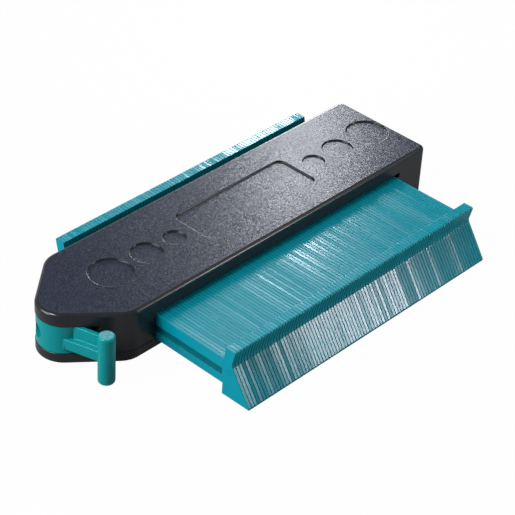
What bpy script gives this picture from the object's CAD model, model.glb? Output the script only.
import math

import bmesh
import bpy
from mathutils import Matrix, Vector


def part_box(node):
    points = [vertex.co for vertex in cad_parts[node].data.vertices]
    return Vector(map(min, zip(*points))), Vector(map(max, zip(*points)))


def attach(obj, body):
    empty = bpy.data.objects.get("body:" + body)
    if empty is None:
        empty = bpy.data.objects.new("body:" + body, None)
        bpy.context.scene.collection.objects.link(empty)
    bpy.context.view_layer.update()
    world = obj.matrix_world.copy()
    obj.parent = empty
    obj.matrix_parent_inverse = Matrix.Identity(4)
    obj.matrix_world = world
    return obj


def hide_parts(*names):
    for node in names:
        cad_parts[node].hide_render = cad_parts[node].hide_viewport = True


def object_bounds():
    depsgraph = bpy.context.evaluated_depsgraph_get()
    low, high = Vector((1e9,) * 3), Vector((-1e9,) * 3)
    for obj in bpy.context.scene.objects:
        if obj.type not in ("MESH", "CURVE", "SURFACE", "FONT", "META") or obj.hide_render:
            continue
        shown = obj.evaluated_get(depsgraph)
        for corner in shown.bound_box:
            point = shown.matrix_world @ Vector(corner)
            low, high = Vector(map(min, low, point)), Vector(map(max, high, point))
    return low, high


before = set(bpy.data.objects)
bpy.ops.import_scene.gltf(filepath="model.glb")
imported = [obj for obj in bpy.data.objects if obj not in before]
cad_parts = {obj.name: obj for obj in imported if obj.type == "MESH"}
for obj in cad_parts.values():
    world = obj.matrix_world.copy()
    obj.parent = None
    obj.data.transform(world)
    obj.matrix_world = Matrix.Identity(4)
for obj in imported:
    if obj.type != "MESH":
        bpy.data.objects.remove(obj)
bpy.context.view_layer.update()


# Base: the lower half of the housing, a flat plate of black polypropylene that the fins slide
# over. It is injection moulded, with lightly broken edges and a satin skin, and four screws
# from below hold it to the cover.
weld = 2e-6
flat_limit = math.radians(0.3)
smooth_limit = math.radians(47.0)
edge_steps = 2


def moulded(node, name, edge, sharp=30.0, skip=None, split=None):
    """Copy of a CAD solid as one joined mesh, its sharp edges broken as a mould leaves them.

    split cuts the edges whose rounding ends part of the way, and skip tells by its middle
    whether an edge stays sharp.
    """
    piece = bpy.data.objects.new(name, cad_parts[node].data.copy())
    piece.data.materials.clear()
    bpy.context.scene.collection.objects.link(piece)
    bpy.ops.object.select_all(action="DESELECT")
    piece.select_set(True)
    bpy.context.view_layer.objects.active = piece
    bpy.context.tool_settings.mesh_select_mode = (False, True, False)
    bpy.ops.object.mode_set(mode="EDIT")
    bpy.ops.mesh.select_all(action="SELECT")
    bpy.ops.mesh.remove_doubles(threshold=weld)
    if split:
        bpy.ops.mesh.dissolve_degenerate(threshold=weld)
    bpy.ops.mesh.dissolve_limited(angle_limit=flat_limit)
    bpy.ops.object.mode_set(mode="OBJECT")
    if split:
        split(piece.data)
    bpy.ops.object.mode_set(mode="EDIT")
    bpy.ops.mesh.select_all(action="DESELECT")
    bpy.ops.mesh.edges_select_sharp(sharpness=math.radians(sharp))
    bpy.ops.object.mode_set(mode="OBJECT")
    if skip:
        points = piece.data.vertices
        for line in piece.data.edges:
            a, b = (points[v].co for v in line.vertices)
            if line.select and skip((a + b) / 2):
                line.select = False
                line.use_edge_sharp = True
        for face in piece.data.polygons:
            face.select = False
    bpy.ops.object.mode_set(mode="EDIT")
    bpy.ops.mesh.bevel(offset=edge, segments=edge_steps, affect="EDGES", clamp_overlap=False)
    bpy.ops.object.mode_set(mode="OBJECT")
    bpy.ops.object.shade_smooth_by_angle(angle=smooth_limit)
    flat = piece.modifiers.new("flat_faces", "WEIGHTED_NORMAL")
    flat.keep_sharp = True
    bpy.ops.object.modifier_apply(modifier="flat_faces")
    return piece


class Wire:
    """A socket of a material, with arithmetic that adds the Math nodes."""

    def __init__(self, tree, socket):
        self.tree = tree
        self.socket = socket

    def node(self, kind, settings, sockets, out=0):
        made = self.tree.nodes.new(kind)
        for key, value in settings.items():
            setattr(made, key, value)
        for key, value in sockets.items():
            if isinstance(value, Wire):
                self.tree.links.new(value.socket, made.inputs[key])
            else:
                made.inputs[key].default_value = value
        return Wire(self.tree, made.outputs[out])

    def axis(self, index):
        return self.node("ShaderNodeSeparateXYZ", {}, {"Vector": self}, out=index)

    def noise(self, scale, detail):
        return self.node(
            "ShaderNodeTexNoise", {}, {"Vector": self, "Scale": scale, "Detail": detail}
        )

    def between(self, first, second):
        """Colour that goes from the first to the second as this value goes from 0 to 1."""
        return self.node(
            "ShaderNodeMix", {"data_type": "RGBA"}, {"Factor": self, 6: first, 7: second}, out=2
        )

    def leant(self, x, y):
        """This normal, leant a little along x and y."""
        lean = self.node("ShaderNodeCombineXYZ", {}, {"X": x, "Y": y})
        total = self.node("ShaderNodeVectorMath", {"operation": "ADD"}, {0: self, 1: lean})
        return self.node("ShaderNodeVectorMath", {"operation": "NORMALIZE"}, {0: total})

    def math(self, operation, a, b):
        return self.node("ShaderNodeMath", {"operation": operation}, {0: a, 1: b})

    def __add__(self, other):
        return self.math("ADD", self, other)

    def __radd__(self, other):
        return self.math("ADD", other, self)

    def __sub__(self, other):
        return self.math("SUBTRACT", self, other)

    def __rsub__(self, other):
        return self.math("SUBTRACT", other, self)

    def __mul__(self, other):
        return self.math("MULTIPLY", self, other)

    def __rmul__(self, other):
        return self.math("MULTIPLY", other, self)

    def __truediv__(self, other):
        return self.math("DIVIDE", self, other)

    def __gt__(self, other):
        return self.math("GREATER_THAN", self, other)

    def __lt__(self, other):
        return self.math("LESS_THAN", self, other)


def finish(name, **sockets):
    """New material with a Principled shader; returns it, its shader and its object coordinates."""
    made = bpy.data.materials.new(name)
    made.use_nodes = True
    tree = made.node_tree
    shader = tree.nodes["Principled BSDF"]
    for key, value in sockets.items():
        shader.inputs[key.replace("_", " ")].default_value = value
    place = Wire(tree, tree.nodes.new("ShaderNodeTexCoord").outputs["Object"])
    return made, shader, place


def feed(shader, socket, wire):
    wire.tree.links.new(wire.socket, shader.inputs[socket])


def satin_black(name, dark, light, rough):
    """Smooth moulded black: faint cloudiness in colour and gloss, and a slight flow ripple."""
    made, shader, place = finish(name, Specular_IOR_Level=0.36)
    cloud = place.noise(90.0, 3.0)
    grain = place.noise(3200.0, 2.0)
    tone = cloud * 0.7 + grain * 0.3
    feed(shader, "Base Color", tone.between(dark, light))
    feed(shader, "Roughness", rough + (cloud - 0.5) * 0.16)
    ripple = place.node(
        "ShaderNodeBump",
        {},
        {"Strength": 0.12, "Distance": 0.00004, "Height": grain + cloud * 2.0},
    )
    feed(shader, "Normal", ripple)
    return made


side_black = satin_black(
    "satin_black", (0.009, 0.0105, 0.012, 1), (0.018, 0.0205, 0.023, 1), 0.24
)
base_edge = 0.00035
base = moulded("base", "base_plate", base_edge)
base.data.materials.append(side_black)
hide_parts("base")
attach(base, "housing")


# Pivot pin: a ground steel dowel pressed into the base, which the lever turns on. It has small
# chamfers, and fine rings from grinding run round it.
pin_edge = 0.0003
pin = moulded("pivot_pin", "pivot_dowel", pin_edge)
ground_steel, shader, place = finish("ground_steel", Metallic=1.0)
squeezed = place.node(
    "ShaderNodeMapping", {"vector_type": "POINT"}, {"Vector": place, "Scale": (40, 40, 6000)}
)
rings = squeezed.noise(1.0, 2.0)
feed(shader, "Base Color", rings.between((0.42, 0.42, 0.43, 1), (0.66, 0.66, 0.67, 1)))
feed(shader, "Roughness", rings * 0.25 + 0.2)
pin.data.materials.append(ground_steel)
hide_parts("pivot_pin")
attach(pin, "housing")


# Clamping shoe: a block of black nylon between the cam and the first fin. The cam pushes on its
# follower, and its flat face presses the fins together.
shoe_edge = 0.0004
shoe = moulded("shoe", "clamp_shoe", shoe_edge)
shoe_nylon = satin_black("shoe_nylon", (0.012, 0.012, 0.013, 1), (0.024, 0.024, 0.026, 1), 0.45)
shoe.data.materials.append(shoe_nylon)
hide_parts("shoe")
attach(shoe, "shoe")


# Fins: thin plates of glossy teal plastic that stand side by side, each with an upright and a
# slanted foot at both ends and a shallow groove along one side. They are moulded one by one, so
# each lies at its own slight tilt and shines by itself.
fin_pitch = 0.0015
fin_gap = 0.0001
fin_edge = 0.00014
fin_rest = 0.01525
pair_step = 2 * fin_pitch
stack_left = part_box("fins_01")[0].x - fin_gap / 2
rear_y = 0.022
groove_low, groove_high = 0.00685, 0.00965
groove_near, groove_far = 0.0001, 0.0009
ejector_y, ejector_z = 0.0439, 0.0094
ejector_in, ejector_out = 0.0009, 0.0012
facing_up = 0.8
facing_side = 0.95


def fin_teal(name, deep, bright, rough):
    """Glossy teal for a fin's edges: each has its own tone and tilt, and darkens at its borders."""
    made, shader, place = finish(name, Specular_IOR_Level=0.22)
    along_y = place.axis(1)
    step = (place.axis(0) - stack_left) / fin_pitch
    count = place.math("FLOOR", step, 0.0)
    across = step - count - 0.5
    facing = place.node("ShaderNodeNewGeometry", {}, {}, out=1)
    flat = facing.axis(2) > facing_up
    own = place.node("ShaderNodeTexWhiteNoise", {"noise_dimensions": "1D"}, {"W": count + 0.37})
    batch = place.node(
        "ShaderNodeTexNoise",
        {"noise_dimensions": "1D"},
        {"W": count * 0.16, "Scale": 1.0, "Detail": 2.0},
    )
    lane = place.node("ShaderNodeCombineXYZ", {}, {"X": along_y * 14.0, "Y": count * 3.7})
    sway = place.node(
        "ShaderNodeTexNoise",
        {"noise_dimensions": "2D"},
        {"Vector": lane, "Scale": 1.0, "Detail": 0.0},
    )
    off_middle = place.math("ABSOLUTE", across, 0.0)
    border = place.node(
        "ShaderNodeMapRange",
        {},
        {"Value": off_middle, "From Min": 0.28, "From Max": 0.47, "To Max": 0.6},
    )
    tone = own * 0.6 + batch * 0.4
    seam = border * (1 - flat * 0.6)
    feed(shader, "Base Color", seam.between(tone.between(deep, bright), (0.0, 0.03, 0.04, 1)))
    feed(shader, "Roughness", rough + own * 0.08)
    slope = (own - 0.5) * (0.05 + flat * 0.04) + (batch - 0.5) * (0.06 + flat * 0.16)
    slope = slope + (sway - 0.5) * (0.02 + flat * 0.04) - across * 0.1
    rear = flat * (along_y > rear_y)
    feed(shader, "Normal", facing.leant(slope + rear * 0.03, rear * -0.1))
    return made


def fin_side(name, deep, bright, rough):
    """Flat side of a fin: faint flow clouds, and an ejector's round mark beside each upright."""
    made, shader, place = finish(name, Specular_IOR_Level=0.1)
    flow = place.noise(110.0, 3.0)
    far = place.math("ABSOLUTE", place.axis(1) + fin_rest, 0.0) - ejector_y
    rise = place.axis(2) - ejector_z
    reach = place.math("SQRT", far * far + rise * rise, 0.0)
    ring = (reach > ejector_in) * (reach < ejector_out)
    tone = flow.between(deep, bright)
    feed(shader, "Base Color", (ring * 0.3).between(tone, (0.0, 0.06, 0.07, 1)))
    feed(shader, "Roughness", rough + flow * 0.08)
    return made


teal_gloss = fin_teal("teal_gloss", (0.0, 0.215, 0.27, 1), (0.0, 0.26, 0.325, 1), 0.14)
teal_side = fin_side("teal_side", (0.0, 0.235, 0.3, 1), (0.0, 0.265, 0.335, 1), 0.26)
teal_groove = fin_side("teal_groove", (0.0, 0.1, 0.12, 1), (0.0, 0.13, 0.155, 1), 0.5)
first = moulded("fins_01", "fin_pair_01", fin_edge)
for made in (teal_gloss, teal_side, teal_groove):
    first.data.materials.append(made)
for face in first.data.polygons:
    set_in = (face.center.x - stack_left) % fin_pitch
    if groove_near < set_in < groove_far and groove_low < face.center.z < groove_high:
        face.material_index = 2
    elif abs(face.normal.x) > facing_side:
        face.material_index = 1
fin_nodes = sorted(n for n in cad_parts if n.startswith("fins_"))
for index, node in enumerate(fin_nodes):
    pair = first
    if index:
        pair = bpy.data.objects.new("fin_pair_%02d" % (index + 1), first.data.copy())
        bpy.context.scene.collection.objects.link(pair)
        pair.data.transform(Matrix.Translation((index * pair_step, 0, 0)))
    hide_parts(node)
    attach(pair, node.replace("fins", "slide"))


# Lever: one teal moulding with a hub that fills the nose, a cam on its hidden side, a stepped arm
# and an upright grip. The skin is semi-gloss, and a rough gate mark is left on the grip's top.
hub_x, hub_r = -0.0815, 0.0103
hub_slack = 0.0001
cam_step = 0.0003
root_gap, root_half = 0.0012, 0.0008
arm_least = 0.003
lever_edge, lever_sharp = 0.00035, 25.0
gate_depth = 0.00012
grip_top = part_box("lever")[1].z


def from_hub(spot):
    return math.hypot(spot.x - hub_x, spot.y)


def arm_roots(mesh):
    """Split the arm's long edges just off the hub, where their rounding runs out."""
    grid = bmesh.new()
    grid.from_mesh(mesh)
    for line in list(grid.edges):
        near, far = sorted(line.verts, key=lambda v: from_hub(v.co))
        on_round = abs(from_hub(near.co) - hub_r) < hub_slack
        if on_round and from_hub(far.co) > hub_r + arm_least:
            bmesh.utils.edge_split(line, near, root_gap / line.calc_length())
    grid.to_mesh(mesh)
    grid.free()


def on_hub(spot):
    """Edges on the round of the hub, at the cam's step and at the arm's root, which stay sharp."""
    return hub_r - cam_step < from_hub(spot) < hub_r + root_half


def lever_teal(name, deep, bright):
    """Semi-gloss teal with faint clouds and the torn gate mark on top of the grip."""
    made, shader, place = finish(name, Specular_IOR_Level=0.2)
    cloud = place.noise(130.0, 3.0)
    grain = place.noise(2600.0, 2.0)
    torn = place.axis(2) > grip_top - gate_depth
    rag = place.node("ShaderNodeTexVoronoi", {}, {"Vector": place, "Scale": 900.0})
    tone = (cloud * 0.6 + grain * 0.4).between(deep, bright)
    feed(shader, "Base Color", (torn * rag * 0.4).between(tone, (0.32, 0.5, 0.53, 1)))
    feed(shader, "Roughness", 0.2 + (cloud - 0.5) * 0.1 + torn * 0.25)
    skin = place.node(
        "ShaderNodeBump",
        {},
        {"Strength": 0.35, "Distance": 0.00025, "Height": grain * 0.06 + torn * rag},
    )
    feed(shader, "Normal", skin)
    return made


lever = moulded("lever", "cam_lever", lever_edge, lever_sharp, skip=on_hub, split=arm_roots)
teal_satin = lever_teal("teal_satin", (0.0, 0.205, 0.21, 1), (0.0, 0.25, 0.26, 1))
lever.data.materials.append(teal_satin)
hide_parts("lever")
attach(lever, "lever")


# Cover: the upper half of the housing, moulded in the same black plastic. Its top and the floors
# of the dimples and the panel have a fine spark-eroded grain, and its sides are smooth and satin.
cover_edge, cover_sharp = 0.0003, 32.0
cover_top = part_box("cover")[1].z
grain_depth = 0.0013
grain_level = 0.995
facet_scale = 3400.0
facet_tilt = 0.17


def eroded_grain(name, dark, light):
    """Spark-eroded skin: fine facets, each with its own tone and tilt, over slow changes of tone."""
    made, shader, place = finish(name, Specular_IOR_Level=0.15)
    facets = place.node(
        "ShaderNodeTexVoronoi",
        {"voronoi_dimensions": "2D"},
        {"Vector": place, "Scale": facet_scale},
        out=1,
    )
    shade, lean_x, lean_y = (
        place.node("ShaderNodeSeparateColor", {}, {"Color": facets}, out=k) for k in range(3)
    )
    slow = place.noise(60.0, 2.0)
    glint = place.math("POWER", shade, 1.3)
    feed(shader, "Base Color", (glint * 0.9 + slow * 0.1).between(dark, light))
    feed(shader, "Roughness", 0.28 + (slow - 0.5) * 0.08)
    facing = place.node("ShaderNodeNewGeometry", {}, {}, out=1)
    leant = facing.leant((lean_x - 0.5) * facet_tilt, (lean_y - 0.5) * facet_tilt)
    feed(shader, "Normal", leant)
    return made


cover = moulded("cover", "top_cover", cover_edge, cover_sharp)
cover_grain = eroded_grain("eroded_grain", (0.006, 0.009, 0.017, 1), (0.03, 0.037, 0.062, 1))
cover.data.materials.append(side_black)
cover.data.materials.append(cover_grain)
for face in cover.data.polygons:
    if face.normal.z > grain_level and face.center.z > cover_top - grain_depth:
        face.material_index = 1
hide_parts("cover")
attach(cover, "housing")


# Screws: four plated self-tapping screws that come up through the base into the cover. The head
# lies flush in its counterbore and has a cross recess.
screw_edge = 0.0003
recess_long, recess_wide, recess_deep = 0.0032, 0.0008, 0.0018
zinc, shader, place = finish("zinc_plate", Metallic=1.0)
patina = place.noise(700.0, 3.0)
feed(shader, "Base Color", patina.between((0.2, 0.2, 0.21, 1), (0.42, 0.42, 0.44, 1)))
feed(shader, "Roughness", patina * 0.3 + 0.25)
for index in range(1, 5):
    node = "screw_%d" % index
    screw = moulded(node, "cover_screw_%d" % index, screw_edge)
    low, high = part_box(node)
    middle = (low + high) / 2
    for turn in (0.0, math.pi / 2):
        bpy.ops.object.select_all(action="DESELECT")
        bpy.ops.mesh.primitive_cube_add(
            size=1.0, location=(middle.x, middle.y, low.z), rotation=(0, 0, turn)
        )
        blade = bpy.context.object
        blade.scale = (recess_long, recess_wide, recess_deep)
        bpy.ops.object.transform_apply(location=False, rotation=True, scale=True)
        bpy.context.view_layer.objects.active = screw
        cross = screw.modifiers.new("cross", "BOOLEAN")
        cross.object = blade
        cross.operation = "DIFFERENCE"
        cross.solver = "EXACT"
        bpy.ops.object.modifier_apply(modifier="cross")
        bpy.data.objects.remove(blade)
    screw.data.materials.append(zinc)
    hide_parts(node)
    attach(screw, "housing")


# Studio: a plain white floor under the fins' feet and a pale surround. A box, a sheet and two low
# strips behind and at the right shine in the tops, a box at the right front shines in the feet,
# and a key and an edge lamp at the left and a fill at the right light the rest.
floor_size, floor_gap = 8.0, 0.0001
lamp_white = (0.94, 0.955, 1.0)
bpy.ops.object.select_all(action="DESELECT")
bpy.ops.mesh.primitive_plane_add(size=floor_size, location=(0, 0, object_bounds()[0].z - floor_gap))
floor = bpy.context.object
floor.name = "studio_floor"
white = bpy.data.materials.new("white_floor")
white.use_nodes = True
tree = white.node_tree
tree.nodes.remove(tree.nodes["Principled BSDF"])
path = tree.nodes.new("ShaderNodeLightPath")
seen = Wire(tree, path.outputs["Is Camera Ray"])
mirrored = Wire(tree, path.outputs["Is Glossy Ray"])
matt = seen.node("ShaderNodeBsdfDiffuse", {}, {"Color": (0.25, 0.25, 0.25, 1)})
glow = seen.node("ShaderNodeEmission", {}, {"Color": (1, 1, 1, 1), "Strength": 1.02})
blend = seen.node("ShaderNodeMixShader", {}, {0: seen * 0.96 + mirrored * 0.15, 1: matt, 2: glow})
tree.links.new(blend.socket, tree.nodes["Material Output"].inputs["Surface"])
floor.data.materials.append(white)

world = bpy.data.worlds.new("studio")
bpy.context.scene.world = world
world.use_nodes = True
tree = world.node_tree
sky = tree.nodes["Background"]
path = tree.nodes.new("ShaderNodeLightPath")
camera_ray = Wire(tree, path.outputs["Is Camera Ray"])
glossy_ray = Wire(tree, path.outputs["Is Glossy Ray"])
clear_ray = Wire(tree, path.outputs["Is Transmission Ray"])
shown = camera_ray.math("MAXIMUM", camera_ray, clear_ray)
shown = shown.math("MAXIMUM", shown, glossy_ray * 0.05)
level = shown * 0.8 + 0.2
tree.links.new(level.socket, sky.inputs["Strength"])
sky.inputs["Color"].default_value = (1, 1, 1, 1)


def soft_box(name, place, target, width, height, power):
    """Rectangular lamp that faces a point."""
    lamp = bpy.data.lights.new(name, "AREA")
    lamp.shape = "RECTANGLE"
    lamp.size = width
    lamp.size_y = height
    lamp.energy = power
    lamp.color = lamp_white
    held = bpy.data.objects.new(name, lamp)
    bpy.context.scene.collection.objects.link(held)
    held.location = place
    held.rotation_euler = (Vector(target) - Vector(place)).to_track_quat("-Z", "Y").to_euler()


soft_box("box_behind", (0.191, 0.125, 0.139), (0.07, 0.018, 0.021), 0.04, 0.05, 0.2)
soft_box("sheet_behind", (0.303, 0.228, 0.308), (0.0, -0.04, 0.014), 0.13, 0.20, 0.18)
soft_box("strip_low", (0.25, 0.6, 0.15), (0.0, 0.0, 0.02), 0.6, 0.15, 0.4)
soft_box("strip_right", (0.54, 0.47, 0.15), (0.0, 0.0, 0.02), 0.2, 0.16, 1.9)
soft_box("box_front", (0.302, -0.434, 0.141), (-0.01, -0.065, 0.006), 0.065, 0.13, 0.86)
soft_box("key_left", (-0.66, 0.3, 0.36), (0.0, -0.02, 0.01), 0.4, 0.35, 4.8)
soft_box("fill_right", (0.5, -0.35, 0.55), (0.02, -0.05, 0.0), 0.4, 0.4, 0.6)
soft_box("edge_left", (-0.52, 0.1, 0.6), (-0.05, -0.02, 0.01), 0.2, 0.2, 4.2)


# Camera: the photograph's view, from the left front and above, with a long lens. The focal
# length is in the photograph's pixels, and the camera stands back from the point it aims at.
focal_px, photo_px = 1921.13, 515
sensor_mm = 36
aim, stand_off = Vector((0.06615, 0.04077, -0.05594)), 0.83586
turn_z, rise, roll = (math.radians(a) for a in (-48.48, 36.03, 3.6))
level_back = Vector((math.sin(turn_z), -math.cos(turn_z), 0))
level_right = Vector((math.cos(turn_z), math.sin(turn_z), 0))
back = level_back * math.cos(rise) + Vector((0, 0, math.sin(rise)))
level_up = back.cross(level_right)
right = level_right * math.cos(roll) + level_up * math.sin(roll)
up = level_up * math.cos(roll) - level_right * math.sin(roll)
lens = bpy.data.cameras.new("photo_view")
lens.sensor_width = sensor_mm
lens.lens = focal_px / photo_px * sensor_mm
lens.clip_start = 0.01
lens.clip_end = 20
eye = bpy.data.objects.new("photo_view", lens)
bpy.context.scene.collection.objects.link(eye)
turned = Matrix((right, up, back)).transposed().to_4x4()
eye.matrix_world = Matrix.Translation(aim + back * stand_off) @ turned
bpy.context.scene.camera = eye
bpy.context.scene.view_settings.view_transform = "Standard"
